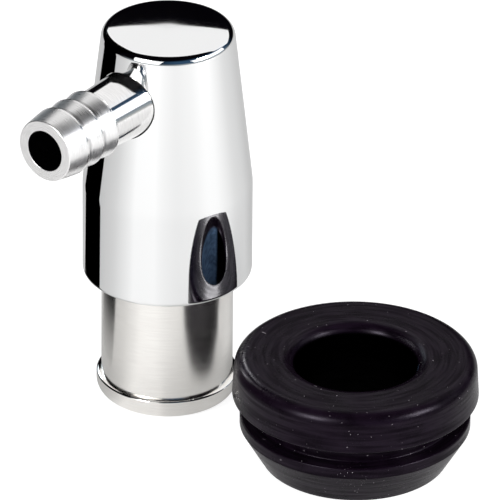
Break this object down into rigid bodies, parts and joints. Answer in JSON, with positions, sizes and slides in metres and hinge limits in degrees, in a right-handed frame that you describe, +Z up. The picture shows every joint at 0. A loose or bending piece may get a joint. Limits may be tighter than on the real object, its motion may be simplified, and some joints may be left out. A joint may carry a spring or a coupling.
{
  "type": "crankcase ventilation valve",
  "caption": "Upright crankcase ventilation valve: tapered polished head with a side hose barb, slimmer collared shank below, sprung metering plunger inside, and a loose grooved rubber grommet.",
  "frame": {"origin": "middle of the set's footprint, on the plane that the valve's rim and the grommet stand on", "axes": "+Z up along the valve's axis, -Y along the hose barb, +X from the valve towards the grommet"},
  "size_m": [0.0678, 0.051, 0.0637],
  "materials": {
    "polished_aluminium": "mirror polished",
    "machined_aluminium": "fine turned satin, polished on the neck of the barb",
    "brass": "turned",
    "steel": "turned",
    "spring_steel": "drawn wire and stamped strip",
    "seal_rubber": "smooth moulded",
    "grommet_rubber": "moulded, soft sheen"
  },
  "bodies": {
    "valve": {"valve_head": "polished_aluminium", "hose_barb": "machined_aluminium", "inlet_shank": "machined_aluminium", "metering_orifice": "brass", "inlet_seat": "brass", "plunger_spring": "spring_steel", "seat_retaining_ring": "spring_steel", "shank_seal": "seal_rubber", "barb_seal": "seal_rubber"},
    "plunger": {"plunger": "steel"},
    "grommet": {"grommet": "grommet_rubber"}
  },
  "joints": [
    {"name": "plunger_slide", "type": "slide", "parent": "valve", "child": "plunger", "axis": [0, 0, 1], "range_m": [0, 0.0045], "stiffness_N_per_m": 80, "springref_m": -0.004, "deforming": ["plunger_spring"]},
    {"name": "grommet_lift", "type": "slide", "parent": "valve", "child": "grommet", "axis": [0, 0, 1], "range_m": [0, 0.07]}
  ]
}
